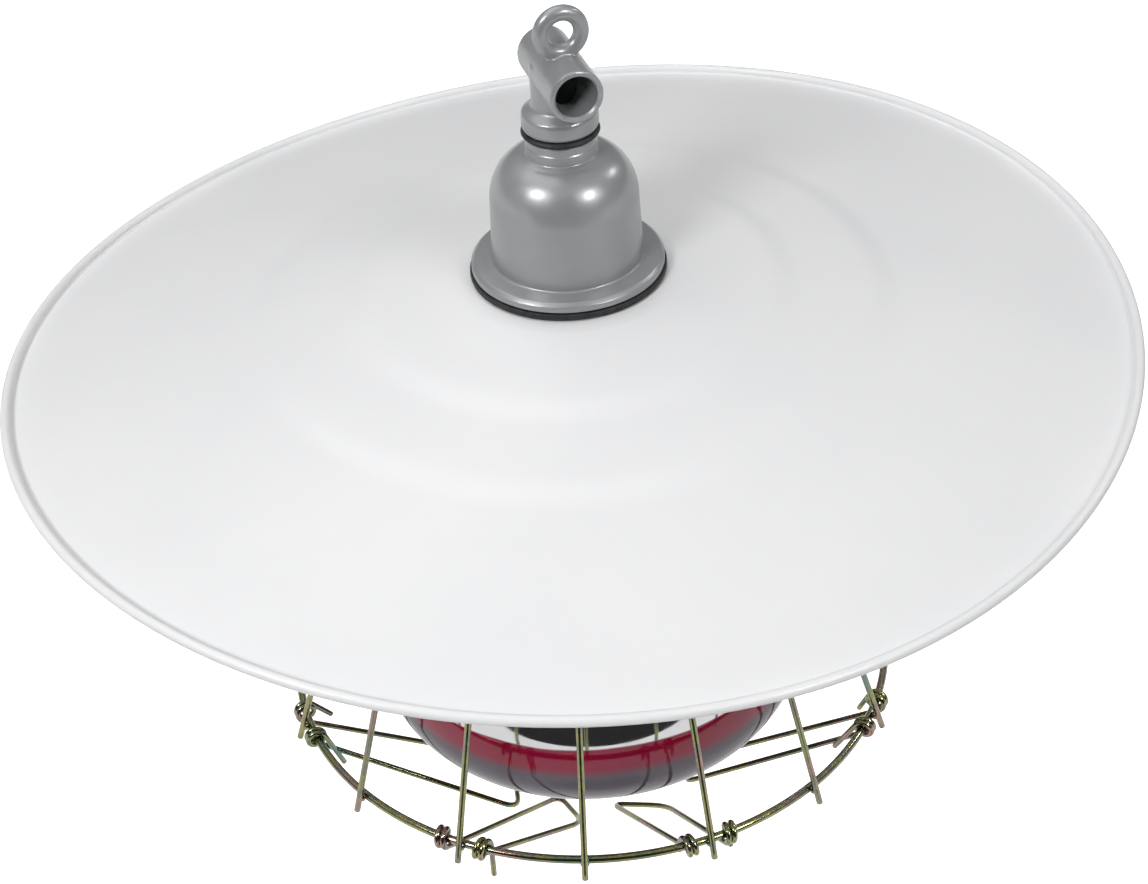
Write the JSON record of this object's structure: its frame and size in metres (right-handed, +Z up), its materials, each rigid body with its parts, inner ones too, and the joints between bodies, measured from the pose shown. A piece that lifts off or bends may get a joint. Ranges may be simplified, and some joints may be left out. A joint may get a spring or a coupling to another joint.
{
  "type": "hanging infrared heat lamp with wire guard",
  "caption": "Hanging infrared heat lamp: a side-entry holder with a hanging eye, a wide shallow shade, a reflector bulb and a wire guard with hinged petals.",
  "frame": {"origin": "the highest point inside the hanging eye, where the hook bears", "axes": "+Z up along the lamp's axis, -Y out of the cable entry, +X to the right when looking into the cable entry"},
  "size_m": [0.3014, 0.2984, 0.243],
  "materials": {
    "grey_plastic": "semi-gloss",
    "black_rubber": "matte",
    "white_enamel": "gloss enamel",
    "yellow_zinc": "yellow passivated zinc, bright",
    "ceramic": "glazed ceramic",
    "brass": "bright",
    "steel": "bright",
    "ruby_glass": "polished, coloured",
    "aluminium": "satin",
    "black_glass": "polished",
    "solder": "satin",
    "clear_glass": "polished",
    "tungsten": "matte"
  },
  "bodies": {
    "fixture": {"cable_cap": "grey_plastic", "neck_seal": "black_rubber", "holder_shell": "grey_plastic", "flange_gasket": "black_rubber", "shade": "white_enamel", "ring_nut": "grey_plastic", "ceramic_insert": "ceramic", "socket_shell": "brass", "insert_retainer": "grey_plastic", "live_terminal": "brass", "neutral_terminal": "brass", "live_screw": "steel", "neutral_screw": "steel", "centre_contact": "brass", "guard_clamp_ring": "yellow_zinc", "guard_hoop": "yellow_zinc", "guard_rib_01": "yellow_zinc", "guard_rib_02": "yellow_zinc", "guard_rib_03": "yellow_zinc", "guard_rib_04": "yellow_zinc", "guard_rib_05": "yellow_zinc", "guard_rib_06": "yellow_zinc", "guard_rib_07": "yellow_zinc", "guard_rib_08": "yellow_zinc", "guard_rib_09": "yellow_zinc", "guard_rib_10": "yellow_zinc", "guard_rib_11": "yellow_zinc", "guard_rib_12": "yellow_zinc", "guard_rib_13": "yellow_zinc", "guard_rib_14": "yellow_zinc", "guard_rib_15": "yellow_zinc", "guard_rib_16": "yellow_zinc"},
    "bulb_tip": {"bulb_tip": "solder"},
    "bulb": {"bulb_glass": "ruby_glass", "bulb_cap": "aluminium", "cap_insulator": "black_glass", "glass_mount": "clear_glass", "filament": "tungsten", "lead_wire_a": "steel", "lead_wire_b": "steel"},
    "petal_1": {"guard_petal_1": "yellow_zinc"},
    "petal_2": {"guard_petal_2": "yellow_zinc"},
    "petal_3": {"guard_petal_3": "yellow_zinc"},
    "petal_4": {"guard_petal_4": "yellow_zinc"},
    "petal_5": {"guard_petal_5": "yellow_zinc"},
    "petal_6": {"guard_petal_6": "yellow_zinc"},
    "petal_7": {"guard_petal_7": "yellow_zinc"},
    "petal_8": {"guard_petal_8": "yellow_zinc"}
  },
  "joints": [
    {"name": "bulb_travel", "type": "slide", "parent": "fixture", "child": "bulb_tip", "axis": [0, 0, 1], "range_m": [-0.00545, 0]},
    {"name": "bulb_turn", "type": "hinge", "parent": "bulb_tip", "child": "bulb", "pos_m": [0, 0.005, -0.0922], "axis": [0, 0, -1], "range_deg": [0, 540]},
    {"name": "petal_1_swing", "type": "hinge", "parent": "fixture", "child": "petal_1", "pos_m": [0.08628, 0.00952, -0.2037], "axis": [0.0523, -0.9986, 0], "range_deg": [0, 90]},
    {"name": "petal_2_swing", "type": "hinge", "parent": "fixture", "child": "petal_2", "pos_m": [0.05781, 0.06921, -0.2037], "axis": [0.7431, -0.6691, 0], "range_deg": [0, 90]},
    {"name": "petal_3_swing", "type": "hinge", "parent": "fixture", "child": "petal_3", "pos_m": [-0.00452, 0.09128, -0.2037], "axis": [0.9986, 0.0523, 0], "range_deg": [0, 90]},
    {"name": "petal_4_swing", "type": "hinge", "parent": "fixture", "child": "petal_4", "pos_m": [-0.06421, 0.06281, -0.2037], "axis": [0.6691, 0.7431, 0], "range_deg": [0, 90]},
    {"name": "petal_5_swing", "type": "hinge", "parent": "fixture", "child": "petal_5", "pos_m": [-0.08628, 0.00048, -0.2037], "axis": [-0.0523, 0.9986, 0], "range_deg": [0, 90]},
    {"name": "petal_6_swing", "type": "hinge", "parent": "fixture", "child": "petal_6", "pos_m": [-0.05781, -0.05921, -0.2037], "axis": [-0.7431, 0.6691, 0], "range_deg": [0, 90]},
    {"name": "petal_7_swing", "type": "hinge", "parent": "fixture", "child": "petal_7", "pos_m": [0.00452, -0.08128, -0.2037], "axis": [-0.9986, -0.0523, 0], "range_deg": [0, 90]},
    {"name": "petal_8_swing", "type": "hinge", "parent": "fixture", "child": "petal_8", "pos_m": [0.06421, -0.05281, -0.2037], "axis": [-0.6691, -0.7431, 0], "range_deg": [0, 90]}
  ],
  "couplings": [
    {"joint": "bulb_travel", "follows": "bulb_turn", "m_per_rad": -0.00057751}
  ]
}
